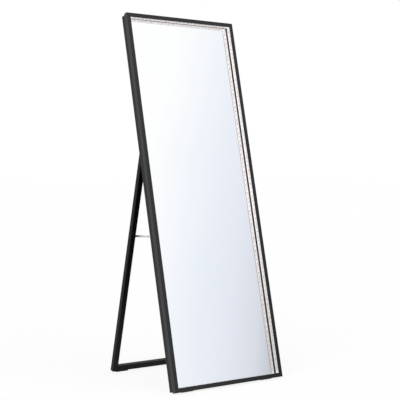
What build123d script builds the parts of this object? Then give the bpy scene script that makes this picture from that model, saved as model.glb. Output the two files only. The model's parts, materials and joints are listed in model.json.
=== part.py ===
from build123d import *
import os
from math import cos, radians, sin

# Leaning floor mirror: a lit black frame that stands on a folding easel leg.
# X runs across the mirror, the mirror faces -Y, Z is up and the floor is Z = 0.

os.makedirs("parts", exist_ok=True)

# Stance
frame_height = 1600.0
frame_width = 572.0
lean_angle = 13.8
leg_angle = 12.6
floor_gap = 1.2
leg_gap = 3.9

# Front profile: a mitred aluminium section with a face, an outer wall, a rear flange and an inner rib
face_width = 18.0
face_thickness = 2.4
front_depth = 20.0
wall_thickness = 1.8
flange_thickness = 1.6
flange_reach = 12.0
rib_thickness = 1.4
rib_setback = 2.6
profile_round = 0.6
sight_wall = 6.8

# Corner keys inside the front profile
key_arm = 45.0
key_width = 9.0
key_thickness = 3.0
key_clearance = 0.2

# Light channels and tapes on the inner walls
channel_setback = 0.2
channel_floor = 0.6
trough_width = 11.0
tape_width = 10.0
tape_thickness = 0.3
tape_end = 30.0
led_pitch = 20.0
led_size = 5.0
led_height = 1.2

# Rear frame, mirror glass and backer board
rear_inset = 4.2
rear_depth = 26.0
rear_width = 52.0
rear_round = 1.0
rebate_wall = 8.8
glass_thickness = 4.0
glass_clearance = 0.3
glass_arris = 0.6
backer_thickness = 3.0

# Countersunk screws, all of one kind but for their length, with few sides because they repeat
fastener_sides = 6
screw_radius = 1.5
screw_head = 2.8
screw_clearance = 0.1
screw_land = 0.1
screw_length = 12.0
frame_screw_margin = 60.0
frame_screw_spacing = 370.0

# Leg frame
leg_width = 23.5
leg_depth = 22.0
leg_inset = 26.0
leg_round = 1.2
dowel_radius = 3.0
dowel_length = 30.0
dowel_spread = 10.0
dowel_clearance = 0.05

# Hinges
hinge_up = 1002.0
hinge_offset = 4.0
knuckle_radius = 3.5
knuckle_gap = 0.2
barrel_sides = 16
leaf_thickness = 1.5
leaf_length = 36.0
leaf_start = 4.5
leaf_round = 3.0
pin_radius = 1.75
pin_clearance = 0.05
leg_top = 5.0

# Folding stays
stay_up = 642.0
stay_drop = 10.5
stay_standoff = 8.0
stay_height = 8.5
stay_thickness = 1.5
stay_gap = 0.3
rivet_radius = 2.0
rivet_clearance = 0.05
rivet_sides = 12
rivet_head_radius = 3.4
rivet_head = 1.2
ear_radius = 6.0
ear_base = 22.0
foot_width = 19.0
foot_length = 30.0
bracket_width = 16.0
bracket_length = 44.0

# Light control box on the backer
box_inset = 136.0
box_up = 870.0
box_width = 78.0
box_height = 48.0
box_depth = 18.0
box_wall = 2.0
box_round = 4.0
cover_thickness = 2.5
post_size = 6.4
post_bite = 0.6
board_thickness = 1.6
board_lift = 5.0
switch_size = 6.0
switch_height = 3.5
button_radius = 5.0
button_rim = 1.2
button_rim_height = 1.0
button_stem = 1.6
button_proud = 2.0
button_chamfer = 0.5
button_travel = 1.5
button_clearance = 0.2
inlet_bore = 3.0
inlet_wall = 1.2
inlet_pin = 1.0
inlet_depth = 9.5
inlet_back = 2.0
inlet_collar_radius = 5.6
inlet_collar = 1.5
inlet_inset = 19.0

# Floor pads
pad_length = 60.0
pad_margin = 2.0
pad_inset = 76.0

# Sizes that follow from the ones above
lean = radians(lean_angle)
slope = radians(leg_angle)
half_width = frame_width / 2
box_across = half_width - box_inset
inlet_across = box_width / 2 - inlet_inset
pad_across = half_width - pad_inset
frame_depth = front_depth + rear_depth
mirror_depth = front_depth + sight_wall
glass_back = mirror_depth + glass_thickness
backer_back = glass_back + backer_thickness
rib_inner = face_width - rib_setback
rib_outer = rib_inner - rib_thickness
channel_face = face_width - channel_setback
trough_centre = (face_thickness + front_depth) / 2
rebate_edge = rear_inset + rebate_wall
glass_edge = rebate_edge + glass_clearance
leg_outer = half_width - leg_inset
leg_inner = leg_outer - leg_width
leg_centre = leg_outer - leg_width / 2
screw_head_height = screw_head - screw_radius

# The mirror's lowest rear edge and the leg's lowest edge stand above the floor by what their pads lift them
front_up = frame_depth * sin(lean) - rear_inset * cos(lean) + floor_gap
hinge_depth = frame_depth + hinge_offset
hinge_behind = hinge_up * sin(lean) + hinge_depth * cos(lean)
hinge_height = front_up + hinge_up * cos(lean) - hinge_depth * sin(lean)
leg_length = (hinge_height + hinge_offset * sin(slope) - leg_gap) / cos(slope)
stance = hinge_behind + leg_length * sin(slope) + (hinge_offset + leg_depth) * cos(slope)
front_y = -stance / 2

# Planes: the mirror's front face, its back, and the leg frame about the hinge axis
face = Plane(origin=(0, front_y, front_up), x_dir=(1, 0, 0), z_dir=(0, -cos(lean), sin(lean)))
backward = -face.z_dir
upward = face.y_dir
across = Vector(1, 0, 0)
hinge_axis = face.from_local_coords((0, hinge_up, -hinge_depth))
leg_plane = Plane(origin=hinge_axis, x_dir=(1, 0, 0), z_dir=(0, -cos(slope), -sin(slope)))
leg_up = leg_plane.y_dir
leg_face = leg_plane.offset(-hinge_offset)
leg_leaf_plane = Plane(origin=leg_face.origin, x_dir=-across, z_dir=leg_face.z_dir)

# Seen from behind, local x runs against X: a left piece lies at a positive place there
hands = {"left": 1, "right": -1}


def mirror_point(x, up, depth):
    """A point across the mirror, up along it and behind its front face."""
    return face.from_local_coords((x, up, -depth))


def leg_point(x, down, back):
    """A point across the leg frame, down from the hinge axis and behind it."""
    return leg_plane.from_local_coords((x, -down, -back))


def rear_plane(x, up, depth):
    """A plane seen from behind the mirror, with its local y up along the mirror."""
    return Plane(origin=mirror_point(x, up, depth), x_dir=-across, z_dir=backward)


def places(plane, points):
    """The locations of a plane's local points, for holes and fasteners."""
    return [plane.location * Location((x, y, 0)) for x, y in points]


def save(piece, name):
    """Label a finished piece and write its file."""
    piece.part.label = name
    export_step(piece.part, f"parts/{name}.step")


# The sides of the frame, clockwise from the front: start corner, run, inward direction and length
sides = {
    "left": (mirror_point(-half_width, 0, 0), upward, across, frame_height),
    "top": (mirror_point(-half_width, frame_height, 0), across, -upward, frame_width),
    "right": (mirror_point(half_width, frame_height, 0), -upward, -across, frame_height),
    "bottom": (mirror_point(half_width, 0, 0), -across, upward, frame_width),
}


def section_plane(side):
    """Plane of a side's section: local x inward from the outer edge, local y behind the face."""
    start, run, inward, length = sides[side]
    return Plane(origin=start, x_dir=inward, z_dir=run)


def back_plane(side, depth):
    """Plane facing backward: local x along the side, local y inward from the outer edge."""
    start, run, inward, length = sides[side]
    return Plane(origin=start + backward * depth, x_dir=run, z_dir=backward)


def mitre_planes(side):
    """The 45 degree planes that cut the two ends of a side."""
    start, run, inward, length = sides[side]
    first = Plane(origin=start, z_dir=run - inward)
    last = Plane(origin=start + run * length, z_dir=-run - inward)
    return first, last


def frame_screw_points(side):
    """Screws that join the rear frame to the front profile, along one side."""
    length = sides[side][3]
    reach = length - 2 * frame_screw_margin
    count = max(2, round(reach / frame_screw_spacing) + 1)
    inset = rear_inset + rebate_wall / 2
    return [(frame_screw_margin + reach * i / (count - 1), inset) for i in range(count)]


def outlines(locations, radius):
    """The outline of a screw or of its hole, at each of the places."""
    with BuildSketch(*[Plane(place) for place in locations]) as sections:
        RegularPolygon(radius, fastener_sides, major_radius=False)
    return sections.sketch


def screw_form(length, clearance):
    """A countersunk screw that points down from the origin, or the hole that clears it."""
    with BuildPart(mode=Mode.PRIVATE) as form:
        head = outlines([Location()], screw_head + clearance)
        extrude(head, amount=-screw_head_height - screw_land)
        chamfer(edges().group_by(Axis.Z)[0], screw_head_height)
        extrude(outlines([Location()], screw_radius + clearance), amount=-length)
    return form.part


def add_screws(locations, length):
    """Countersunk screws, flush with the places given and pointing into them."""
    screw = screw_form(length, 0)
    add([place * screw for place in locations])


def drill(locations, depth):
    """Plain holes that clear the screws' shanks."""
    extrude(outlines(locations, screw_radius + screw_clearance), amount=-depth, mode=Mode.SUBTRACT)


def countersink(locations, depth):
    """Holes that clear the screws and their tapered heads."""
    hole = screw_form(depth, screw_clearance)
    add([place * hole for place in locations], mode=Mode.SUBTRACT)


# Front profile: one extruded section, mitred at the corners and drilled for the frame screws
front_names = {"left": "left_stile", "top": "top_rail", "right": "right_stile", "bottom": "bottom_rail"}
for side, name in front_names.items():
    with BuildPart() as front_profile:
        with BuildSketch(section_plane(side)):
            with BuildLine():
                Polyline(
                    (0, 0),
                    (face_width, 0),
                    (face_width, face_thickness),
                    (rib_inner, face_thickness),
                    (rib_inner, mirror_depth),
                    (rib_outer, mirror_depth),
                    (rib_outer, face_thickness),
                    (wall_thickness, face_thickness),
                    (wall_thickness, front_depth - flange_thickness),
                    (flange_reach, front_depth - flange_thickness),
                    (flange_reach, front_depth),
                    (0, front_depth),
                    close=True,
                )
            make_face()
            fillet(vertices().group_by(Axis.Y)[0], profile_round)
        extrude(amount=sides[side][3])
        for cut in mitre_planes(side):
            split(bisect_by=cut, keep=Keep.TOP)
        drill(places(back_plane(side, front_depth), frame_screw_points(side)), flange_thickness)
    save(front_profile, name)

# Corner keys: flat angles that lie on the rear flange and lock the mitres
with BuildPart() as corner_keys:
    with BuildSketch(face.offset(flange_thickness - front_depth)):
        key_start = wall_thickness + key_clearance
        key_reach = key_start + key_arm
        key_inside = key_start + key_width
        for mirror_x in (-1, 1):
            for from_top in (False, True):
                with BuildLine():
                    corner = []
                    for inset_x, inset_up in (
                        (key_start, key_start),
                        (key_reach, key_start),
                        (key_reach, key_inside),
                        (key_inside, key_inside),
                        (key_inside, key_reach),
                        (key_start, key_reach),
                    ):
                        up = frame_height - inset_up if from_top else inset_up
                        corner.append((mirror_x * (half_width - inset_x), up))
                    Polyline(*corner, close=True)
                make_face()
    extrude(amount=key_thickness)
save(corner_keys, "corner_keys")

# Light channels: white troughs that line the inner walls behind the face
for side in sides:
    with BuildPart() as light_channel:
        with BuildSketch(section_plane(side)):
            with BuildLine():
                Polyline(
                    (rib_inner, face_thickness),
                    (channel_face, face_thickness),
                    (channel_face, trough_centre - trough_width / 2),
                    (rib_inner + channel_floor, trough_centre - trough_width / 2),
                    (rib_inner + channel_floor, trough_centre + trough_width / 2),
                    (channel_face, trough_centre + trough_width / 2),
                    (channel_face, front_depth),
                    (rib_inner, front_depth),
                    close=True,
                )
            make_face()
        extrude(amount=sides[side][3])
        for cut in mitre_planes(side):
            split(bisect_by=cut, keep=Keep.TOP)
    save(light_channel, f"light_channel_{side}")

# Light tapes: a thin strip in each trough, with a row of chips soldered on it
for side, (start, run, inward, length) in sides.items():
    tape_plane = Plane(origin=start + inward * (rib_inner + channel_floor), x_dir=run, z_dir=inward)
    tape_length = length - 2 * tape_end
    led_count = int(tape_length // led_pitch)
    with BuildPart() as light_tape:
        with BuildSketch(tape_plane):
            with Locations((length / 2, -trough_centre)):
                Rectangle(tape_length, tape_width)
        extrude(amount=tape_thickness)
        with BuildSketch(tape_plane.offset(tape_thickness)):
            with Locations((length / 2, -trough_centre)):
                with GridLocations(led_pitch, led_pitch, led_count, 1):
                    Rectangle(led_size, led_size)
        extrude(amount=led_height)
    save(light_tape, f"light_tape_{side}")

# Mirror glass, with a fine arris ground on its front edge, and the board behind it
glass_width = frame_width - 2 * glass_edge
glass_height = frame_height - 2 * glass_edge
with BuildPart() as mirror_glass:
    with BuildSketch(face.offset(-mirror_depth)):
        with Locations((0, frame_height / 2)):
            Rectangle(glass_width, glass_height)
    extrude(amount=-glass_thickness)
    front_face = faces().sort_by(Axis(mirror_point(0, 0, 0), face.z_dir))[-1]
    chamfer(front_face.edges(), glass_arris)
save(mirror_glass, "mirror_glass")

with BuildPart() as backer_board:
    with BuildSketch(face.offset(-glass_back)):
        with Locations((0, frame_height / 2)):
            Rectangle(glass_width, glass_height)
    extrude(amount=-backer_thickness)
save(backer_board, "backer_board")


def hinge_screw_points(hand):
    """Screws of one hinge leaf: local x across, local y away from the hinge axis."""
    row = leaf_length / 3
    near = leaf_start + row / 2
    spread = leg_width / 4
    centre = hand * leg_centre
    return [(centre - spread, near), (centre + spread, near), (centre, near + row + row / 2)]


def foot_screw_points(hand):
    """Screws of a stay's frame bracket: local x across, local y up from the stay."""
    centre = hand * (leg_inner + foot_width / 4)
    return [(centre, -foot_length / 3), (centre, foot_length / 3)]


# Rear frame: rebated wooden bars, mitred, drilled for every screw that goes into them
for side in sides:
    with BuildPart() as rear_bar:
        with BuildSketch(section_plane(side)):
            with BuildLine():
                Polyline(
                    (rear_inset, front_depth),
                    (rebate_edge, front_depth),
                    (rebate_edge, backer_back),
                    (rear_inset + rear_width, backer_back),
                    (rear_inset + rear_width, frame_depth),
                    (rear_inset, frame_depth),
                    close=True,
                )
            make_face()
            fillet(vertices().group_by(Axis.Y)[-1], rear_round)
        extrude(amount=sides[side][3])
        for cut in mitre_planes(side):
            split(bisect_by=cut, keep=Keep.TOP)
        countersink(places(back_plane(side, frame_depth), frame_screw_points(side)), rear_depth)
        if side in hands:
            hinge_back = rear_plane(0, hinge_up, frame_depth)
            drill(places(hinge_back, hinge_screw_points(hands[side])), screw_length)
            stay_back = rear_plane(0, stay_up, frame_depth)
            drill(places(stay_back, foot_screw_points(hands[side])), screw_length)
    save(rear_bar, f"rear_bar_{side}")

# Screws from the back of the rear frame into the front profile's flange
with BuildPart() as frame_screws:
    for side in sides:
        screw_places = places(back_plane(side, frame_depth), frame_screw_points(side))
        add_screws(screw_places, rear_depth + flange_thickness)
save(frame_screws, "frame_screws")

# Hinges: a leaf on the rear frame with two outer knuckles, a leaf on the leg with the middle one
knuckle_length = (leg_width - 2 * knuckle_gap) / 3
knuckle_step = knuckle_length + knuckle_gap


def axis_plane(x):
    """Plane square to the hinge axis, at a place across the frame."""
    return Plane(origin=(x, hinge_axis.Y, hinge_axis.Z), x_dir=upward, z_dir=across)


def add_knuckle(centre_x):
    """One barrel of a hinge, bored for the pin."""
    with BuildSketch(axis_plane(centre_x)) as barrel:
        RegularPolygon(knuckle_radius, barrel_sides)
    extrude(barrel.sketch, amount=knuckle_length / 2, both=True)
    with BuildSketch(axis_plane(centre_x)) as bore:
        RegularPolygon(pin_radius + pin_clearance, fastener_sides, major_radius=False)
    extrude(bore.sketch, amount=knuckle_length / 2, both=True, mode=Mode.SUBTRACT)


def leaf_plate(centre_x, tab_steps):
    """Sketch of a leaf: a plate away from the axis and a tab to each of its knuckles."""
    with Locations((centre_x, leaf_start + leaf_length / 2)):
        Rectangle(leg_width, leaf_length)
    fillet(vertices().group_by(Axis.Y)[-1], leaf_round)
    for step in tab_steps:
        with Locations((centre_x + step * knuckle_step, leaf_start / 2)):
            Rectangle(knuckle_length, leaf_start)


for side, hand in hands.items():
    leaf_x = hand * leg_centre
    world_x = -leaf_x
    with BuildPart() as frame_leaf:
        with BuildSketch(rear_plane(0, hinge_up, frame_depth)):
            leaf_plate(leaf_x, (-1, 1))
        extrude(amount=leaf_thickness)
        for step in (-1, 1):
            add_knuckle(world_x + step * knuckle_step)
        leaf_top = rear_plane(0, hinge_up, frame_depth + leaf_thickness)
        countersink(places(leaf_top, hinge_screw_points(hand)), leaf_thickness)
    save(frame_leaf, f"hinge_frame_leaf_{side}")

    with BuildPart() as leg_leaf:
        with BuildSketch(leg_leaf_plane):
            leaf_plate(leaf_x, (0,))
        extrude(amount=leaf_thickness)
        add_knuckle(world_x)
        leaf_top = leg_leaf_plane.offset(leaf_thickness)
        countersink(places(leaf_top, hinge_screw_points(hand)), leaf_thickness)
    save(leg_leaf, f"hinge_leg_leaf_{side}")

    with BuildPart() as hinge_pin:
        pin_start = world_x - leg_width / 2
        with BuildSketch(axis_plane(pin_start)):
            RegularPolygon(pin_radius, rivet_sides)
        extrude(amount=leg_width)
    save(hinge_pin, f"hinge_pin_{side}")

with BuildPart() as hinge_frame_screws:
    leaf_top = rear_plane(0, hinge_up, frame_depth + leaf_thickness)
    for hand in hands.values():
        add_screws(places(leaf_top, hinge_screw_points(hand)), screw_length)
save(hinge_frame_screws, "hinge_frame_screws")

with BuildPart() as hinge_leg_screws:
    leaf_top = leg_leaf_plane.offset(leaf_thickness)
    for hand in hands.values():
        add_screws(places(leaf_top, hinge_screw_points(hand)), screw_length)
save(hinge_leg_screws, "hinge_leg_screws")

# Folding stays: where the two links run, from the frame bracket's pivot to the leg's
stay_radius = hinge_up - stay_up + stay_drop
rivet_hole = rivet_radius + rivet_clearance
stay_start = mirror_point(0, stay_up, frame_depth + stay_standoff)
leg_pivot_back = hinge_offset + leg_depth / 2
stay_end = leg_point(0, stay_radius, leg_pivot_back)
stay_line = stay_end - stay_start
stay_reach = stay_line.normalized()
# The rear link is longer by the drop, so that both links fold up flat along the frame
front_link_length = (stay_line.length - stay_drop) / 2
rear_link_length = (stay_line.length + stay_drop) / 2
bracket_top = stay_thickness
rear_link_from = bracket_top + stay_gap
front_link_from = rear_link_from + stay_thickness + stay_gap
ear_from = front_link_from + stay_thickness + stay_gap


def leg_side_plane(x):
    """Plane square to X on the leg: local x up the leg, local y towards the mirror."""
    return Plane(origin=(x, hinge_axis.Y, hinge_axis.Z), x_dir=leg_up, z_dir=across)


def stay_plane(x):
    """Plane square to X on the stay: local x from the frame's pivot to the leg's."""
    return Plane(origin=(x, stay_start.Y, stay_start.Z), x_dir=stay_reach, z_dir=across)


def stay_layer(hand, height):
    """Place across the frame of a layer of the stay, counted inward from the leg."""
    return hand * (height - leg_inner)


def add_link(hand, layer, along, length):
    """A flat link with round ends and a hole at each."""
    with BuildSketch(stay_plane(stay_layer(hand, layer))) as outline:
        with Locations((along + length / 2, 0)):
            SlotCenterToCenter(length, stay_height)
        with Locations((along, 0), (along + length, 0)):
            RegularPolygon(rivet_hole, fastener_sides, major_radius=False, mode=Mode.SUBTRACT)
    extrude(outline.sketch, amount=hand * stay_thickness)


def add_rivet(hand, along, low, high, head_low, head_high):
    """A rivet through the layers between low and high, with a head at each end that is told."""
    for radius, begin, end in (
        (rivet_radius, low, high),
        (rivet_head_radius, low - head_low, low),
        (rivet_head_radius, high, high + head_high),
    ):
        if end > begin:
            with BuildSketch(stay_plane(stay_layer(hand, begin))) as section:
                with Locations((along, 0)):
                    RegularPolygon(radius, rivet_sides)
            extrude(section.sketch, amount=hand * (end - begin))


def bracket_screw_places(hand, height):
    """Places of a leg bracket's screws, above and below the pivot and facing inward from the leg."""
    points = [(-stay_radius + step * bracket_length / 3, -leg_pivot_back) for step in (-1, 1)]
    inward = Rotation(0, 0, 0) if hand > 0 else Rotation(180, 0, 0)
    return [place * inward for place in places(leg_side_plane(stay_layer(hand, height)), points)]


for side, hand in hands.items():
    with BuildPart() as front_link:
        add_link(hand, front_link_from, 0, front_link_length)
    save(front_link, f"stay_front_link_{side}")

    # The pivot at the bracket and the knee, both set in the front link
    with BuildPart() as front_rivets:
        add_rivet(hand, 0, front_link_from, ear_from + stay_thickness, rivet_head, rivet_head)
        knee_to = front_link_from + stay_thickness
        add_rivet(hand, front_link_length, rear_link_from, knee_to, rivet_head, rivet_head)
    save(front_rivets, f"stay_front_rivets_{side}")

    with BuildPart() as rear_link:
        add_link(hand, rear_link_from, front_link_length, rear_link_length)
    save(rear_link, f"stay_rear_link_{side}")

    # The pivot at the leg ends flush with the link, a stay gap short of the bracket
    with BuildPart() as rear_rivet:
        rivet_to = rear_link_from + stay_thickness
        add_rivet(hand, stay_line.length, rear_link_from, rivet_to, 0, rivet_head)
    save(rear_rivet, f"stay_rear_rivet_{side}")

    # Frame bracket: a foot on the rear frame and an ear that holds the front pivot
    with BuildPart() as frame_bracket:
        ear_x = stay_layer(hand, ear_from)
        ear_plane = Plane(origin=mirror_point(ear_x, stay_up, frame_depth), x_dir=backward, z_dir=across)
        with BuildSketch(ear_plane):
            with Locations((leaf_thickness / 2, 0)):
                Rectangle(leaf_thickness, ear_base)
            with Locations((stay_standoff, 0)):
                Circle(ear_radius)
            make_hull()
            with Locations((stay_standoff, 0)):
                RegularPolygon(rivet_hole, fastener_sides, major_radius=False, mode=Mode.SUBTRACT)
        extrude(amount=hand * stay_thickness)
        foot_end = stay_layer(hand, ear_from + stay_thickness)
        foot_centre = foot_end - hand * foot_width / 2
        with BuildSketch(rear_plane(foot_centre, stay_up, frame_depth)):
            RectangleRounded(foot_width, foot_length, leaf_round)
        extrude(amount=leaf_thickness)
        foot_top = rear_plane(0, stay_up, frame_depth + leaf_thickness)
        countersink(places(foot_top, foot_screw_points(hand)), leaf_thickness)
    save(frame_bracket, f"stay_frame_bracket_{side}")

    # Leg bracket: a plate on the inner side of the leg
    with BuildPart() as leg_bracket:
        with BuildSketch(leg_side_plane(stay_layer(hand, 0))):
            with Locations((-stay_radius, -leg_pivot_back)):
                SlotOverall(bracket_length, bracket_width)
        extrude(amount=hand * stay_thickness)
        countersink(bracket_screw_places(hand, bracket_top), stay_thickness)
    save(leg_bracket, f"stay_leg_bracket_{side}")

with BuildPart() as bracket_frame_screws:
    foot_top = rear_plane(0, stay_up, frame_depth + leaf_thickness)
    for hand in hands.values():
        add_screws(places(foot_top, foot_screw_points(hand)), screw_length)
save(bracket_frame_screws, "stay_frame_screws")

with BuildPart() as bracket_leg_screws:
    for hand in hands.values():
        add_screws(bracket_screw_places(hand, bracket_top), screw_length)
save(bracket_leg_screws, "stay_leg_screws")

# Leg frame: two legs, a foot bar and a top bar, joined with dowels
bar_length = 2 * leg_inner
top_bar_down = leg_top + leg_width / 2
foot_bar_down = leg_length - leg_width / 2
dowel_points = [
    (-down, -leg_pivot_back + step * dowel_spread / 2)
    for down in (top_bar_down, foot_bar_down)
    for step in (-1, 1)
]
leg_run = Axis(hinge_axis, leg_up)

for side, hand in hands.items():
    leg_x = -hand * leg_centre
    with BuildPart() as leg:
        with BuildSketch(leg_face):
            with Locations((leg_x, -(leg_top + leg_length) / 2)):
                Rectangle(leg_width, leg_length - leg_top)
        extrude(amount=-leg_depth)
        fillet(edges().filter_by(leg_run), leg_round)
        with BuildSketch(leg_side_plane(stay_layer(hand, 0))):
            with Locations(*dowel_points):
                RegularPolygon(dowel_radius + dowel_clearance, fastener_sides, major_radius=False)
        extrude(amount=-hand * dowel_length / 2, mode=Mode.SUBTRACT)
        drill(places(leg_leaf_plane, hinge_screw_points(hand)), screw_length)
        drill(bracket_screw_places(hand, 0), screw_length)
    save(leg, f"{side}_leg")

for name, down in (("leg_top_bar", top_bar_down), ("foot_bar", foot_bar_down)):
    with BuildPart() as cross_bar:
        with BuildSketch(leg_face):
            with Locations((0, -down)):
                Rectangle(bar_length, leg_width)
        extrude(amount=-leg_depth)
        fillet(edges().filter_by(Axis.X), leg_round)
        for hand in hands.values():
            with BuildSketch(leg_side_plane(stay_layer(hand, 0))):
                with Locations(*[point for point in dowel_points if point[0] == -down]):
                    RegularPolygon(dowel_radius + dowel_clearance, fastener_sides, major_radius=False)
            extrude(amount=hand * dowel_length / 2, mode=Mode.SUBTRACT)
    save(cross_bar, name)

with BuildPart() as leg_dowels:
    for hand in hands.values():
        with BuildSketch(leg_side_plane(stay_layer(hand, -dowel_length / 2))):
            with Locations(*dowel_points):
                RegularPolygon(dowel_radius, fastener_sides, major_radius=False)
        extrude(amount=hand * dowel_length)
save(leg_dowels, "leg_dowels")


# Floor pads: rubber wedges under the rear frame's bottom bar and under the foot bar
pad_tops = {
    "frame": (
        mirror_point(0, rear_inset, front_depth + pad_margin),
        mirror_point(0, rear_inset, frame_depth - pad_margin),
    ),
    "leg": (
        leg_point(0, leg_length, hinge_offset + pad_margin),
        leg_point(0, leg_length, hinge_offset + leg_depth - pad_margin),
    ),
}
for under, (front_top, rear_top) in pad_tops.items():
    for side, pad_x in (("left", -pad_across), ("right", pad_across)):
        with BuildPart() as floor_pad:
            with BuildSketch(Plane.YZ.offset(pad_x - pad_length / 2)):
                with BuildLine():
                    Polyline(
                        (front_top.Y, front_top.Z),
                        (rear_top.Y, rear_top.Z),
                        (rear_top.Y, 0),
                        (front_top.Y, 0),
                        close=True,
                    )
                make_face()
            extrude(amount=pad_length)
        save(floor_pad, f"{under}_pad_{side}")

# Light control box: a tray on the backer with a board, a cover, a button and a power inlet
box_plane = rear_plane(box_across, box_up, backer_back)
post_x = box_width / 2 - box_wall - post_size / 2 + post_bite
post_y = box_height / 2 - box_wall - post_size / 2 + post_bite
post_points = [(x, y) for x in (-post_x, post_x) for y in (-post_y, post_y)]
board_width = box_width - 2 * (box_wall + post_size + button_clearance)
board_height = box_height - 2 * (box_wall + button_clearance)
board_level = box_wall + board_lift
inlet_radius = inlet_bore + inlet_wall
inlet_level = board_level + board_thickness + inlet_radius + button_clearance
inlet_plane = Plane(
    origin=mirror_point(box_across - inlet_across, box_up - box_height / 2, backer_back + inlet_level),
    x_dir=across,
    z_dir=-upward,
)
standoff_points = [(x, 0) for x in (-board_width / 3, board_width / 3)]

with BuildPart() as box_tray:
    with BuildSketch(box_plane):
        RectangleRounded(box_width, box_height, box_round)
    extrude(amount=box_depth)
    with BuildSketch(box_plane.offset(box_wall)):
        RectangleRounded(box_width - 2 * box_wall, box_height - 2 * box_wall, box_round - box_wall)
    extrude(amount=box_depth - box_wall, mode=Mode.SUBTRACT)
    with BuildSketch(box_plane.offset(box_wall)):
        with Locations(*post_points):
            Rectangle(post_size, post_size)
    extrude(amount=box_depth - box_wall)
    with BuildSketch(box_plane.offset(box_wall)):
        with Locations(*standoff_points):
            Rectangle(post_size, board_height / 2)
    extrude(amount=board_lift)
    drill(places(box_plane.offset(box_depth), post_points), screw_length)
    with BuildSketch(inlet_plane):
        RegularPolygon(inlet_radius + button_clearance, barrel_sides)
    extrude(amount=-box_wall, mode=Mode.SUBTRACT)
save(box_tray, "control_box_tray")

with BuildPart() as box_cover:
    with BuildSketch(box_plane.offset(box_depth)):
        RectangleRounded(box_width, box_height, box_round)
        Circle(button_radius + button_clearance, mode=Mode.SUBTRACT)
    extrude(amount=cover_thickness)
    cover_top = box_plane.offset(box_depth + cover_thickness)
    countersink(places(cover_top, post_points), cover_thickness)
save(box_cover, "control_box_cover")

with BuildPart() as box_screws:
    add_screws(places(cover_top, post_points), screw_length)
save(box_screws, "control_box_screws")

with BuildPart() as control_board:
    with BuildSketch(box_plane.offset(board_level)):
        Rectangle(board_width, board_height)
    extrude(amount=board_thickness)
    with BuildSketch(box_plane.offset(board_level + board_thickness)):
        Rectangle(switch_size, switch_size)
    extrude(amount=switch_height)
save(control_board, "control_board")

# Push button: a round cap held under the cover by its rim, with a stem above the switch
switch_top = board_level + board_thickness + switch_height
with BuildPart() as power_button:
    rim_top = box_depth - button_clearance
    with BuildSketch(box_plane.offset(rim_top)):
        Circle(button_radius)
    extrude(amount=cover_thickness + button_clearance + button_proud)
    cap_edge = edges().group_by(Axis(box_plane.origin, backward))[-1]
    chamfer(cap_edge, button_chamfer)
    with BuildSketch(box_plane.offset(rim_top)):
        Circle(button_radius + button_rim)
    extrude(amount=-button_rim_height)
    stem_from = switch_top + button_travel + button_clearance
    with BuildSketch(box_plane.offset(stem_from)):
        RegularPolygon(button_stem, fastener_sides)
    extrude(amount=rim_top - stem_from)
save(power_button, "power_button")

# Power inlet: a collar on the tray's lower wall, a barrel behind it and the centre pin
with BuildPart() as power_inlet:
    with BuildSketch(inlet_plane):
        Circle(inlet_collar_radius)
    extrude(amount=inlet_collar)
    barrel = inlet_depth - inlet_collar + inlet_back
    with BuildSketch(inlet_plane):
        RegularPolygon(inlet_radius, barrel_sides)
    extrude(amount=-barrel)
    with BuildSketch(inlet_plane.offset(inlet_collar)):
        Circle(inlet_bore)
        RegularPolygon(inlet_pin, rivet_sides, mode=Mode.SUBTRACT)
    extrude(amount=-inlet_depth, mode=Mode.SUBTRACT)
save(power_inlet, "power_inlet")
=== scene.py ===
import json
from math import cos, pi, radians, sin

import bmesh
import bpy
from mathutils import Matrix, Vector


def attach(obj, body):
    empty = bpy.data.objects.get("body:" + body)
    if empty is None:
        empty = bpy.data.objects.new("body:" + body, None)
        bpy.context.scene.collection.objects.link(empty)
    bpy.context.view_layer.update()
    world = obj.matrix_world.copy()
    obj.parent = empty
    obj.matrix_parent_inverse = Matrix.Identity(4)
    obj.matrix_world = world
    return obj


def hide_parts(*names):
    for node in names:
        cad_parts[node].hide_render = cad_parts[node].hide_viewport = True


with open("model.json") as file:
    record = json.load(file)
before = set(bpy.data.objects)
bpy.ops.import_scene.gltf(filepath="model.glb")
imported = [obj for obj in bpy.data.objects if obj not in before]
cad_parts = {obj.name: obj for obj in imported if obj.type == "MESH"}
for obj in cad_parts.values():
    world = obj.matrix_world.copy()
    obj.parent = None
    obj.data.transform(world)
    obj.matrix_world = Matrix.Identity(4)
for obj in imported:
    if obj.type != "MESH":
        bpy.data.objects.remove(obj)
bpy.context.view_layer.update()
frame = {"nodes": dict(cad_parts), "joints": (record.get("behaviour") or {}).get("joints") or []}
nodes = frame["nodes"]


# Rear frame: four rebated softwood bars behind the front profile, a little smaller all round.
# They are mitred, sprayed with black lacquer and screwed to the profile from behind.
# They hold the glass and its backer, and carry the leg frame.
NOISE_LOW, NOISE_HIGH = 0.3, 0.7    # most values of a noise lie between these


def linear(hex_colour):
    """An sRGB hex colour as linear RGBA."""
    channels = [int(hex_colour[i:i + 2], 16) / 255 for i in (1, 3, 5)]
    return tuple(c / 12.92 if c <= 0.04045 else ((c + 0.055) / 1.055) ** 2.4 for c in channels) + (1.0,)


def add(tree, kind, inputs, stops=(), **settings):
    """Adds a node to a tree. An input that is a socket is linked, any other is set as a value.

    Stops are those of a colour ramp, in order, each a place and a hex colour.
    """
    made = tree.nodes.new(kind)
    for name, value in settings.items():
        setattr(made, name, value)
    for name, value in inputs.items():
        if isinstance(value, bpy.types.NodeSocket):
            tree.links.new(value, made.inputs[name])
        else:
            made.inputs[name].default_value = value
    for i, (place, colour) in enumerate(stops):
        elements = made.color_ramp.elements
        stop = elements[i] if i < 2 else elements.new(place)
        stop.position = place
        stop.color = linear(colour)
    return made


def new_material(name):
    """An empty node material and its tree."""
    material = bpy.data.materials.new(name)
    material.use_nodes = True
    material.node_tree.nodes.clear()
    return material, material.node_tree


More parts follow.
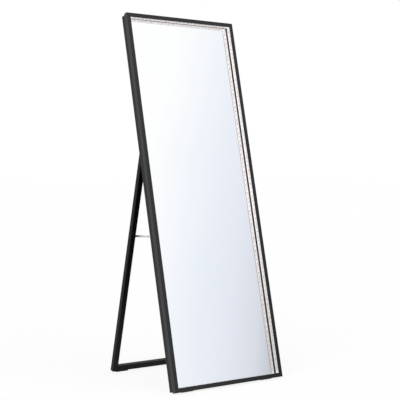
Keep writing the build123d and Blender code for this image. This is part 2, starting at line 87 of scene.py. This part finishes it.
def streaked(name, dark, light, streak, relief, rough, shader, tilt=0.0, along_x=False):
    """Two close colours in streaks along a bar, with a relief and a sheen that follow them.

    The streaks run up the bar, at a tilt from upright, or across along X.
    """
    width, length = streak
    fine, long = 1 / width, 1 / length
    scale = (long, fine, fine) if along_x else (fine, fine, long)
    material, tree = new_material(name)
    place = add(tree, "ShaderNodeTexCoord", {})
    tilted = add(tree, "ShaderNodeMapping", {"Vector": place.outputs["Object"], "Rotation": (tilt, 0, 0)})
    stretched = add(tree, "ShaderNodeMapping", {"Vector": tilted.outputs["Vector"], "Scale": scale})
    grain = add(tree, "ShaderNodeTexNoise", {"Vector": stretched.outputs["Vector"], "Scale": 1.0,
                                             "Detail": 4.0, "Roughness": 0.6})
    colour = add(tree, "ShaderNodeValToRGB", {"Fac": grain.outputs["Fac"]},
                 stops=((NOISE_LOW, dark), (NOISE_HIGH, light)))
    sheen = add(tree, "ShaderNodeMapRange", {"Value": grain.outputs["Fac"],
                                             "From Min": NOISE_LOW, "From Max": NOISE_HIGH,
                                             "To Min": rough[0], "To Max": rough[1]})
    ridges = add(tree, "ShaderNodeBump", {"Height": grain.outputs["Fac"], "Strength": 0.25,
                                          "Distance": relief})
    skin = add(tree, "ShaderNodeBsdfPrincipled", {"Base Color": colour.outputs["Color"],
                                                  "Roughness": sheen.outputs["Result"],
                                                  "Normal": ridges.outputs["Normal"], **shader})
    add(tree, "ShaderNodeOutputMaterial", {"Surface": skin.outputs["BSDF"]})
    return material


def paint(material, *names):
    """Gives CAD nodes their finish."""
    for name in names:
        slots = nodes[name].data.materials
        slots.clear()
        slots.append(material)


LEAN = radians(13.8)
# A nearly black satin skin; the softwood's grain, 2.5 mm wide, still shows in it as faint ridges
LACQUER = {"dark": "#0a0a0a", "light": "#141414", "streak": (0.0025, 0.2), "relief": 0.0008,
           "rough": (0.36, 0.52), "shader": {"IOR": 1.45, "Specular IOR Level": 0.3}}
wood_upright = streaked("black_lacquered_wood_upright", tilt=LEAN, **LACQUER)
wood_across = streaked("black_lacquered_wood_across", along_x=True, **LACQUER)
paint(wood_upright, "rear_bar_left", "rear_bar_right")
paint(wood_across, "rear_bar_top", "rear_bar_bottom")


# Backer: a 3 mm hardboard sheet in the rebate behind the glass, which keeps the silver from scratches.
# It is pressed from wood fibre and left plain.
# Brown and matte: fibre, drawn at 3 mm, coarser than the real one, over a faint mottle of bundles
FIBRE_SIZE, BUNDLE_SIZE = 0.003, 0.05
hardboard, tree = new_material("pressed_hardboard")
place = add(tree, "ShaderNodeTexCoord", {})
fibre = add(tree, "ShaderNodeTexNoise", {"Vector": place.outputs["Object"], "Scale": 1 / FIBRE_SIZE,
                                         "Detail": 6.0, "Roughness": 0.7})
bundles = add(tree, "ShaderNodeTexNoise", {"Vector": place.outputs["Object"], "Scale": 1 / BUNDLE_SIZE,
                                           "Detail": 3.0})
both = add(tree, "ShaderNodeMath", {0: fibre.outputs["Fac"], 1: bundles.outputs["Fac"]},
           operation="MULTIPLY")
brown = add(tree, "ShaderNodeValToRGB", {"Fac": both.outputs["Value"]},
            stops=((0.08, "#553f2c"), (0.45, "#75583d")))
fuzz = add(tree, "ShaderNodeBump", {"Height": fibre.outputs["Fac"], "Strength": 0.3, "Distance": 0.0003})
sheet = add(tree, "ShaderNodeBsdfPrincipled", {"Base Color": brown.outputs["Color"], "Roughness": 0.8,
                                               "Normal": fuzz.outputs["Normal"]})
add(tree, "ShaderNodeOutputMaterial", {"Surface": sheet.outputs["BSDF"]})
paint(hardboard, "backer_board")


# Mirror: a 4 mm pane of float glass with a ground edge, silvered, held between the rear frame's rebate
# and the front profile's rib.
# It gives back nearly all light; drawing marks a third of a metre wide make its shine a touch uneven
DRAWING_MARK = 0.35
silver, tree = new_material("silvered_float_glass")
place = add(tree, "ShaderNodeTexCoord", {})
drawn = add(tree, "ShaderNodeTexNoise", {"Vector": place.outputs["Object"], "Scale": 1 / DRAWING_MARK,
                                         "Detail": 1.0})
tint = add(tree, "ShaderNodeValToRGB", {"Fac": drawn.outputs["Fac"]},
           stops=((NOISE_LOW, "#fdfefe"), (NOISE_HIGH, "#ffffff")))
haze = add(tree, "ShaderNodeMapRange", {"Value": drawn.outputs["Fac"],
                                        "From Min": NOISE_LOW, "From Max": NOISE_HIGH,
                                        "To Min": 0.004, "To Max": 0.012})
pane = add(tree, "ShaderNodeBsdfPrincipled", {"Base Color": tint.outputs["Color"], "Metallic": 1.0,
                                              "Roughness": haze.outputs["Result"]})
add(tree, "ShaderNodeOutputMaterial", {"Surface": pane.outputs["BSDF"]})
paint(silver, "mirror_glass")


# Front profile: an extruded aluminium section, mitred at the corners, that covers the glass edge and
# the lights. It is black anodised. Flat zinc plated angles inside it lock the mitres.
# Anodising keeps the metal's die lines: soft streaks, drawn at 4 mm, coarser than the real ones
ANODISED = {"dark": "#070706", "light": "#161514", "streak": (0.004, 0.6), "relief": 0.0002,
            "rough": (0.13, 0.25), "shader": {"IOR": 1.46}}
profile_upright = streaked("black_anodised_aluminium_upright", tilt=LEAN, **ANODISED)
profile_across = streaked("black_anodised_aluminium_across", along_x=True, **ANODISED)
paint(profile_upright, "left_stile", "right_stile")
paint(profile_across, "top_rail", "bottom_rail")

# Pale and a little cool, with a dull sheen. The long streaks of rolled sheet are drawn 0.8 mm wide,
# coarser than the real ones
ZINC = {"dark": "#dadcdd", "light": "#e6e8e8", "streak": (0.0008, 0.03), "relief": 0.00002,
        "rough": (0.42, 0.50), "shader": {"Metallic": 1.0}}
zinc = streaked("zinc_plated_steel", along_x=True, **ZINC)
paint(zinc, "corner_keys")


# Light channels: white troughs, extruded and mitred, pressed against the profile's inner walls before
# the glass. They are opal polycarbonate.
# Painted light: the troughs and tapes glow by emission, standing in for light, painted dimmer towards the
# floor
PAINTED_GLOW_HEIGHT = 0.76    # half way up the mirror, where a glow reaches its full strength


def mottled(name, dark, light, grain, shader, relief=0.0, glow=None):
    """Two close colours mixed by a noise of the grain's size, which is a relief too if one is given.

    A painted glow, emission that stands in for light, is given at the floor and at the glow height.
    """
    material, tree = new_material(name)
    place = add(tree, "ShaderNodeTexCoord", {})
    noise = add(tree, "ShaderNodeTexNoise", {"Vector": place.outputs["Object"], "Scale": 1 / grain,
                                             "Detail": 3.0})
    colour = add(tree, "ShaderNodeValToRGB", {"Fac": noise.outputs["Fac"]},
                 stops=((NOISE_LOW, dark), (NOISE_HIGH, light)))
    skin = add(tree, "ShaderNodeBsdfPrincipled", {"Base Color": colour.outputs["Color"], **shader})
    if relief:
        bumps = add(tree, "ShaderNodeBump", {"Height": noise.outputs["Fac"], "Strength": 0.3,
                                             "Distance": relief})
        tree.links.new(bumps.outputs["Normal"], skin.inputs["Normal"])
    if glow:
        height = add(tree, "ShaderNodeSeparateXYZ", {"Vector": place.outputs["Object"]})
        share = add(tree, "ShaderNodeMapRange", {"Value": height.outputs["Z"], "From Max": PAINTED_GLOW_HEIGHT,
                                                 "To Min": glow[0], "To Max": glow[1]})
        tree.links.new(share.outputs["Result"], skin.inputs["Emission Strength"])
    add(tree, "ShaderNodeOutputMaterial", {"Surface": skin.outputs["BSDF"]})
    return material


# Soft white with a hint of pink, in clouds of 20 mm. A faint painted glow, emission that stands in for
# room light, with painted shade that dims it towards the floor
OPAL = {"dark": "#dfdcdc", "light": "#e9e6e6", "grain": 0.02,
        "shader": {"Roughness": 0.45, "Emission Color": linear("#fffafa")}}
opal = mottled("opal_polycarbonate", glow=(0.0, 0.31), **OPAL)
paint(opal, "light_channel_left", "light_channel_right")
# Painted light: the upper trough is a lit copy of the opal, with a stronger painted glow
opal_painted_brighter_top = mottled("opal_polycarbonate_painted_brighter_top", glow=(0.0, 0.48), **OPAL)
paint(opal_painted_brighter_top, "light_channel_top")
# Painted light: the lower trough is a lit copy of the opal, with an even painted glow
opal_painted_even_glow = mottled("opal_polycarbonate_painted_even_glow", glow=(0.24, 0.24), **OPAL)
paint(opal_painted_even_glow, "light_channel_bottom")


# Light tapes: a flexible strip stuck in each trough, with a square chip every 20 mm, a resistor after every
# third chip and a pair of bare pads where the strip may be cut. Chips and resistors are soldered on.
# White solder mask on film, uneven every 4 mm, with a painted glow like the troughs'; the lower tape's is
# even
SOLDER_MASK = {"dark": "#d9d4d4", "light": "#e3dede", "grain": 0.004,
               "shader": {"Roughness": 0.4, "Emission Color": linear("#fff8f8")}}
film = mottled("white_solder_mask", glow=(0.0, 0.28), **SOLDER_MASK)
film_painted_even_glow = mottled("white_solder_mask_painted_even_glow", glow=(0.24, 0.24), **SOLDER_MASK)
# The chip's moulded body: a greyer white, with a grain of 0.5 mm
package = mottled("moulded_chip_package", dark="#b8b0b0", light="#c8c1c0", grain=0.0005,
                  shader={"Roughness": 0.5})
# The chip's window, unlit: pale buff and glossy, with specks of 0.4 mm
phosphor = mottled("silicone_phosphor", dark="#bdb2aa", light="#cbc2b9", grain=0.0004,
                   shader={"Roughness": 0.25})
# Bare pads: pale copper gone a little dull, in patches of 1 mm
copper = mottled("bare_copper", dark="#b98a5a", light="#d8ab78", grain=0.001,
                 shader={"Metallic": 1.0, "Roughness": 0.35})
# Resistors: small dark glazed blocks, faintly mottled at 0.6 mm
glaze = mottled("resistor_glaze", dark="#2a2a2c", light="#3a3a3c", grain=0.0006,
                shader={"Roughness": 0.3})
MASK_SLOT, PACKAGE_SLOT, WINDOW_SLOT, PAD_SLOT, RESISTOR_SLOT = range(5)

# The mirror's own directions. Its front edge lies below and before the hinge pins, which a joint places
HALF_WIDTH, FRAME_HEIGHT = 0.286, 1.600
HINGE_UP, HINGE_DEPTH = 1.002, 0.050
ACROSS = Vector((1, 0, 0))
UP = Vector((0, sin(LEAN), cos(LEAN)))
BACK = Vector((0, cos(LEAN), -sin(LEAN)))
hinge_pin = Vector(next(joint["pos_m"] for joint in frame["joints"] if joint["name"] == "leg_fold"))
front_edge = hinge_pin - UP * HINGE_UP - BACK * HINGE_DEPTH

SHARP_ANGLE = radians(40)


def grid_at(origin, x_axis, z_axis):
    """A local grid with the given origin and two of its axes."""
    grid = Matrix((x_axis, z_axis.cross(x_axis), z_axis)).transposed().to_4x4()
    grid.translation = origin
    return grid


def block(bm, grid, low, high, slot, taper=0.0):
    """A block between two corners of a grid, its top drawn in by a taper."""
    corners = []
    for z, inset in ((low[2], 0.0), (high[2], taper)):
        x0, y0, x1, y1 = low[0] + inset, low[1] + inset, high[0] - inset, high[1] - inset
        outline = ((x0, y0), (x1, y0), (x1, y1), (x0, y1))
        corners += [bm.verts.new(grid @ Vector((x, y, z))) for x, y in outline]
    walls = [(i, (i + 1) % 4, 4 + (i + 1) % 4, 4 + i) for i in range(4)]
    for ring in [(3, 2, 1, 0), (4, 5, 6, 7), *walls]:
        bm.faces.new([corners[i] for i in ring]).material_index = slot


def turned(bm, grid, profile, slot=0, sides=24):
    """Turns a profile of (radius, height) points about a grid's z axis. Returns the first point's ring."""
    rings = []
    for radius, height in profile:
        angles = [2 * pi * i / sides for i in range(sides if radius else 1)]
        places = [Vector((radius * cos(angle), radius * sin(angle), height)) for angle in angles]
        rings.append([bm.verts.new(grid @ place) for place in places])
    for below, above in zip(rings, rings[1:]):
        for i in range(sides):
            k = (i + 1) % sides
            corners = [below[i % len(below)], below[k % len(below)],
                       above[k % len(above)], above[i % len(above)]]
            bm.faces.new(list(dict.fromkeys(corners))).material_index = slot
    return rings[0]


def finished(name, bm, body, slot, replaced, *materials):
    """Makes an object of a mesh, with its finishes, on its body and in the place of a CAD node."""
    bmesh.ops.recalc_face_normals(bm, faces=bm.faces)
    mesh = bpy.data.meshes.new(name)
    bm.to_mesh(mesh)
    bm.free()
    mesh.shade_smooth()
    mesh.set_sharp_from_angle(angle=SHARP_ANGLE)
    for material in materials:
        mesh.materials.append(material)
    piece = bpy.data.objects.new(name, mesh)
    bpy.context.scene.collection.objects.link(piece)
    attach(piece, body)
    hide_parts(replaced)


# The trough's floor lies this far in from the outer edge, and its middle this far behind the face
TAPE_BED, TAPE_DEPTH = 0.0160, 0.0112
TAPE_WIDTH, TAPE_THICK, TAPE_END = 0.010, 0.0003, 0.030
CHIP_PITCH, CHIP_SIZE, CHIP_HEIGHT, CHIP_DRAFT = 0.020, 0.005, 0.0010, 0.0003
CHIP_TOP = TAPE_THICK + CHIP_HEIGHT
CHIPS_PER_CUT = 3
WINDOW_RADIUS, WINDOW_RISE, WINDOW_SHOULDER, WINDOW_SIDES = 0.0019, 0.00015, 0.7, 12
window_profile = [(WINDOW_RADIUS, 0), (WINDOW_RADIUS * WINDOW_SHOULDER, WINDOW_RISE * WINDOW_SHOULDER),
                  (0, WINDOW_RISE)]
RESISTOR_LENGTH, RESISTOR_WIDTH, RESISTOR_HEIGHT, RESISTOR_DRAFT = 0.0032, 0.0016, 0.0006, 0.0001
RESISTOR_TO_CUT = 0.0032
PAD_SIZE, PAD_SPREAD, PAD_THICK = 0.0024, 0.0060, 0.00005
# Each side's corner, across and up from the front edge, the way the tape runs, the way in, and the length
tape_sides = {
    "left": (-HALF_WIDTH, 0.0, UP, ACROSS, FRAME_HEIGHT),
    "top": (-HALF_WIDTH, FRAME_HEIGHT, ACROSS, -UP, 2 * HALF_WIDTH),
    "right": (HALF_WIDTH, FRAME_HEIGHT, -UP, -ACROSS, FRAME_HEIGHT),
    "bottom": (HALF_WIDTH, 0.0, -ACROSS, UP, 2 * HALF_WIDTH),
}
for side, (x, up, run, inward, length) in tape_sides.items():
    corner = front_edge + ACROSS * x + UP * up
    grid = grid_at(corner + run * length / 2 + inward * TAPE_BED + BACK * TAPE_DEPTH, run, inward)
    half = length / 2 - TAPE_END
    count = int(2 * half // CHIP_PITCH)
    bm = bmesh.new()
    block(bm, grid, (-half, -TAPE_WIDTH / 2, 0), (half, TAPE_WIDTH / 2, TAPE_THICK), MASK_SLOT)
    for i in range(count):
        along = (i - (count - 1) / 2) * CHIP_PITCH
        block(bm, grid, (along - CHIP_SIZE / 2, -CHIP_SIZE / 2, TAPE_THICK),
              (along + CHIP_SIZE / 2, CHIP_SIZE / 2, CHIP_TOP), PACKAGE_SLOT, CHIP_DRAFT)
        window = grid @ Matrix.Translation((along, 0, CHIP_TOP))
        turned(bm, window, window_profile, WINDOW_SLOT, WINDOW_SIDES)
        if i % CHIPS_PER_CUT == CHIPS_PER_CUT - 1:
            cut = along + CHIP_PITCH / 2
            end = cut - RESISTOR_TO_CUT
            block(bm, grid, (end - RESISTOR_LENGTH, -RESISTOR_WIDTH / 2, TAPE_THICK),
                  (end, RESISTOR_WIDTH / 2, TAPE_THICK + RESISTOR_HEIGHT), RESISTOR_SLOT, RESISTOR_DRAFT)
            for y in (-PAD_SPREAD / 2, PAD_SPREAD / 2):
                block(bm, grid, (cut - PAD_SIZE / 2, y - PAD_SIZE / 2, TAPE_THICK),
                      (cut + PAD_SIZE / 2, y + PAD_SIZE / 2, TAPE_THICK + PAD_THICK), PAD_SLOT)
    finished(f"lit_tape_{side}", bm, "mirror_frame", "light_tape", f"light_tape_{side}",
             film_painted_even_glow if side == "bottom" else film, package, phosphor, copper, glaze)


# Screws: countersunk, cold headed and zinc plated, each with a cross recess, driven flush into what they
# hold. The CAD screws have six sides to stay light; these stand in their places and are round.
HEAD_RADIUS, SHANK_RADIUS, HEAD_DEPTH, HEAD_LAND = 0.0028, 0.0015, 0.0014, 0.0001
CROSS_ARM, CROSS_HALF, CROSS_DEPTH, CROSS_TAPER = 0.0016, 0.00038, 0.0009, 0.75
POINT_LENGTH, POINT_RADIUS = 0.002, 0.0002
SCREW_TURN = 0.7    # from one screw's cross to the next one's, in radians
SAME_PLACE, SAME_LEVEL = 1e-6, 1e-5    # points this close are one point, or lie level


def cross_screw(bm, grid, length):
    """One screw that points down from the grid, with its head flush and a cross sunk in it."""
    outline = [(CROSS_ARM, -CROSS_HALF), (CROSS_ARM, CROSS_HALF), (CROSS_HALF, CROSS_HALF)]
    for quarter in range(3):
        outline += [(-y, x) for x, y in outline[-3:]]
    rim = turned(bm, grid, [(HEAD_RADIUS, 0), (HEAD_RADIUS, -HEAD_LAND), (SHANK_RADIUS, -HEAD_DEPTH),
                            (SHANK_RADIUS, POINT_LENGTH - length), (POINT_RADIUS, -length), (0, -length)])
    cross = [bm.verts.new(grid @ Vector((x, y, 0))) for x, y in outline]
    pit = [bm.verts.new(grid @ Vector((x * CROSS_TAPER, y * CROSS_TAPER, -CROSS_DEPTH))) for x, y in outline]
    rim_edges = [bm.edges.get((rim[i - 1], rim[i])) for i in range(len(rim))]
    cross_edges = [bm.edges.new((cross[i - 1], cross[i])) for i in range(len(cross))]
    bmesh.ops.triangle_fill(bm, use_beauty=True, edges=rim_edges + cross_edges)
    for i in range(len(cross)):
        bm.faces.new((cross[i - 1], cross[i], pit[i], pit[i - 1]))
    bm.faces.new(pit)


def loose_pieces(name):
    """The points of each loose piece in a CAD node."""
    bm = bmesh.new()
    bm.from_mesh(nodes[name].data)
    bmesh.ops.remove_doubles(bm, verts=bm.verts, dist=SAME_PLACE)
    seen, pieces = set(), []
    for first in bm.verts:
        front, points = [first], []
        while front:
            vert = front.pop()
            if vert not in seen:
                seen.add(vert)
                points.append(vert.co.copy())
                front += [edge.other_vert(vert) for edge in vert.link_edges]
        if points:
            pieces.append(points)
    bm.free()
    return pieces


LEG_SLOPE = radians(12.6)
LEG_FRONT = Vector((0, -cos(LEG_SLOPE), -sin(LEG_SLOPE)))
# Each group's body and the way its heads face; those on the stays' leg brackets face the middle
screw_groups = {
    "frame_screws": ("mirror_frame", BACK),
    "hinge_frame_screws": ("mirror_frame", BACK),
    "stay_frame_screws": ("mirror_frame", BACK),
    "control_box_screws": ("mirror_frame", BACK),
    "hinge_leg_screws": ("leg_frame", LEG_FRONT),
    "stay_leg_screws": ("leg_frame", None),
}
for name, (body, facing) in screw_groups.items():
    bm = bmesh.new()
    for number, points in enumerate(loose_pieces(name)):
        inward = ACROSS if points[0].x < 0 else -ACROSS
        outward = facing or inward
        levels = [point.dot(outward) for point in points]
        head = [point for point, level in zip(points, levels) if level > max(levels) - SAME_LEVEL]
        centre = sum(head, Vector()) / len(head)
        grid = grid_at(centre, outward.orthogonal().normalized(), outward)
        cross_screw(bm, grid @ Matrix.Rotation(SCREW_TURN * number, 4, "Z"), max(levels) - min(levels))
    finished(f"cross_{name}", bm, body, "plated_steel", name, zinc)


# Hinges: two butt hinges of pressed sheet steel, zinc plated, each with a pin through three knuckles.
# One leaf is screwed to the rear frame and the other to the front of the leg.
for side in ("left", "right"):
    paint(zinc, f"hinge_frame_leaf_{side}", f"hinge_leg_leaf_{side}", f"hinge_pin_{side}")


# Leg frame: two softwood legs, a top bar and a foot bar, glued on beech dowels and stained black.
# It hangs on the hinges and folds flat against the back.
# Black stain with the rear frame's grain; its darker, duller copy of the lacquer is painted shade
SHADED_STAIN = {**LACQUER, "dark": "#040404", "light": "#0c0c0c",
         "shader": {"IOR": 1.45, "Specular IOR Level": 0.17}}
wood_leg_painted_shade = streaked("black_stained_wood_painted_shade_upright", tilt=-LEG_SLOPE, **SHADED_STAIN)
wood_leg_painted_shade_across = streaked("black_stained_wood_painted_shade_across", along_x=True, **SHADED_STAIN)
paint(wood_leg_painted_shade, "left_leg", "right_leg")
paint(wood_leg_painted_shade_across, "leg_top_bar", "foot_bar")
# Bare turned beech: light tan with flecks 6 mm long
beech = streaked("plain_beech", dark="#b98f62", light="#d1aa7c", streak=(0.0006, 0.006), relief=0.00005,
                 rough=(0.55, 0.65), shader={}, along_x=True)
paint(beech, "leg_dowels")


# Folding stays: on each side two flat links, joined at a knee, between a bracket on the frame and one on
# the leg. Links and brackets are pressed zinc plated steel, joined by rivets with domed heads.
# The links' strip was rolled along its length, from front to back
zinc_strip = streaked("zinc_plated_strip", tilt=radians(90), **ZINC)
rivet_bodies = {}
for side in ("left", "right"):
    paint(zinc_strip, f"stay_front_link_{side}", f"stay_rear_link_{side}", f"stay_leg_bracket_{side}")
    paint(zinc, f"stay_frame_bracket_{side}")
    rivet_bodies[f"stay_front_rivets_{side}"] = f"{side}_stay_front"
    rivet_bodies[f"stay_rear_rivet_{side}"] = f"{side}_stay_rear"

RIVET_RADIUS, RIVET_HEAD, RIVET_RISE = 0.0020, 0.0034, 0.0012
DOME_STEPS = 5
dome = [(RIVET_HEAD * sin(pi / 2 * i / DOME_STEPS), RIVET_RISE * (1 - cos(pi / 2 * i / DOME_STEPS)))
        for i in range(DOME_STEPS + 1)]
for name, body in rivet_bodies.items():
    bm = bmesh.new()
    for points in loose_pieces(name):
        low = Vector([min(point[axis] for point in points) for axis in range(3)])
        high = Vector([max(point[axis] for point in points) for axis in range(3)])
        centre = (low + high) / 2
        profile = []
        for end, start, way in ((low.x, 0.0, 1), (high.x, high.x - low.x, -1)):
            reach = max((point - centre).yz.length for point in points if abs(point.x - end) < SAME_LEVEL)
            headed = reach > (RIVET_RADIUS + RIVET_HEAD) / 2
            tip = dome + [(RIVET_RADIUS, RIVET_RISE)] if headed else [(0, 0), (RIVET_RADIUS, 0)]
            profile += [(radius, start + way * height) for radius, height in tip][::way]
        turned(bm, grid_at(Vector((low.x, centre.y, centre.z)), UP, ACROSS), profile)
    finished(f"domed_{name}", bm, body, "plated_steel", name, zinc)


# Floor pads: rubber wedges glued under the rear frame and under the foot bar, so that the leaning frames
# stand flat. They are moulded.
# Matte near black with a fine pebble, drawn at 1 mm, coarser than the real one
rubber = mottled("moulded_black_rubber", dark="#131313", light="#202020", grain=0.001,
                 shader={"Roughness": 0.75}, relief=0.0002)
paint(rubber, "frame_pad_left", "frame_pad_right", "leg_pad_left", "leg_pad_right")


# Light control: a moulded box on the backer, closed by a cover with four screws. A push button stands in
# the cover, a power inlet in the lower wall, and a small circuit board lies inside.
# Black plastic with the spark grain of its mould, drawn at 0.6 mm, coarser than the real one
moulding = mottled("moulded_black_abs", dark="#181819", light="#242425", grain=0.0006,
                   shader={"Roughness": 0.5}, relief=0.0001)
paint(moulding, "control_box_tray", "control_box_cover", "power_inlet")
# The button is smoother from use
polished = mottled("smooth_black_abs", dark="#202021", light="#2b2b2c", grain=0.002,
                   shader={"Roughness": 0.3})
paint(polished, "power_button")
# Green solder mask over glass cloth, faintly mottled at 1 mm
laminate = mottled("green_circuit_laminate", dark="#1d5a35", light="#2a6e43", grain=0.001,
                   shader={"Roughness": 0.35})
paint(laminate, "control_board")


# Studio: a white floor that keeps the object's shadow, in a white room with two wide soft lights.
# To the front right the room falls off to a blue grey, which is what the leaning mirror shows.
FLOOR_HALF, FLOOR_GLOW = 30.0, 0.85
floor_corners = [(x * FLOOR_HALF, y * FLOOR_HALF, 0) for x, y in ((-1, -1), (1, -1), (1, 1), (-1, 1))]
floor_mesh = bpy.data.meshes.new("studio_floor")
floor_mesh.from_pydata(floor_corners, [], [(0, 1, 2, 3)])
floor = bpy.data.objects.new("studio_floor", floor_mesh)
bpy.context.scene.collection.objects.link(floor)


def looked_at(tree, path):
    """A value of 1 on the light paths that the camera, metal or glass sees along, and 0 on the others."""
    sharp = add(tree, "ShaderNodeMath", {0: path.outputs["Is Camera Ray"], 1: path.outputs["Is Glossy Ray"]})
    shown = add(tree, "ShaderNodeMath", {0: sharp.outputs["Value"], 1: path.outputs["Is Transmission Ray"]},
                use_clamp=True)
    return shown.outputs["Value"]


paper, tree = new_material("white_studio_paper")
path = add(tree, "ShaderNodeLightPath", {})
share = add(tree, "ShaderNodeMath", {0: looked_at(tree, path), 1: FLOOR_GLOW}, operation="MULTIPLY")
matte = add(tree, "ShaderNodeBsdfDiffuse", {"Color": linear("#6a6a6a")})
glow = add(tree, "ShaderNodeEmission", {"Strength": share.outputs["Value"]})
total = add(tree, "ShaderNodeAddShader", {0: matte.outputs["BSDF"], 1: glow.outputs["Emission"]})
add(tree, "ShaderNodeOutputMaterial", {"Surface": total.outputs["Shader"]})
floor_mesh.materials.append(paper)

# The room darkens where a direction's product with the way passes the start
FALL_WAY, FALL_START = (6.7, 0.0, -1.2), 3.32
ROOM_LIGHT = 0.75    # what the room sheds on the object; what shows of it is white at 1
MIX_FACTOR, MIX_A, MIX_B, MIX_RESULT = 0, 6, 7, 2    # a colour mix's sockets, whose names aren't unique
room = bpy.data.worlds.new("white_room")
bpy.context.scene.world = room
room.use_nodes = True
tree = room.node_tree
tree.nodes.clear()
path = add(tree, "ShaderNodeLightPath", {})
direction = add(tree, "ShaderNodeTexCoord", {})
product = add(tree, "ShaderNodeVectorMath", {0: direction.outputs["Generated"], 1: FALL_WAY},
              operation="DOT_PRODUCT")
fall = add(tree, "ShaderNodeMath", {0: product.outputs["Value"], 1: FALL_START}, operation="SUBTRACT",
           use_clamp=True)
wall = add(tree, "ShaderNodeValToRGB", {"Fac": fall.outputs["Value"]},
           stops=((0.0, "#ffffff"), (0.30, "#f0f4fb"), (0.57, "#e4e8f2"), (0.72, "#d8dce5"),
                  (1.0, "#868c96")))
backdrop = add(tree, "ShaderNodeMix", {MIX_FACTOR: path.outputs["Is Camera Ray"],
                                       MIX_A: wall.outputs["Color"], MIX_B: linear("#ffffff")},
               data_type="RGBA")
level = add(tree, "ShaderNodeMapRange", {"Value": looked_at(tree, path), "To Min": ROOM_LIGHT, "To Max": 1.0})
air = add(tree, "ShaderNodeBackground", {"Color": backdrop.outputs[MIX_RESULT],
                                         "Strength": level.outputs["Result"]})
add(tree, "ShaderNodeOutputWorld", {"Surface": air.outputs["Background"]})

SOFT_ANGLE = radians(50)
softlights = {"left_softlight": ((-0.75, -0.45, 0.55), 1.3), "front_softlight": ((0.25, -0.80, 0.60), 0.5)}
for name, (source, strength) in softlights.items():
    lamp = bpy.data.lights.new(name, "SUN")
    lamp.energy = strength
    lamp.angle = SOFT_ANGLE
    holder = bpy.data.objects.new(name, lamp)
    holder.rotation_euler = Vector(source).to_track_quat("Z", "Y").to_euler()
    holder.visible_glossy = False
    bpy.context.scene.collection.objects.link(holder)


# Camera: a long lens to the front left of the mirror. Its place and aim, from the mirror's front edge,
# its lens and its slight roll are fitted to the photograph's edges.
EYE, AIM = Vector((-2.6923, -3.3252, 0.9509)), Vector((0.0255, 0.2641, 0.7562))
LENS, ROLL = 92.94, radians(0.653)
camera_data = bpy.data.cameras.new("camera")
camera_data.lens = LENS
camera = bpy.data.objects.new("camera", camera_data)
camera.location = front_edge + EYE
aimed = (AIM - EYE).to_track_quat("-Z", "Y").to_matrix() @ Matrix.Rotation(ROLL, 3, "Z")
camera.rotation_euler = aimed.to_euler()
bpy.context.scene.collection.objects.link(camera)
bpy.context.scene.camera = camera
bpy.context.scene.view_settings.view_transform = "Standard"
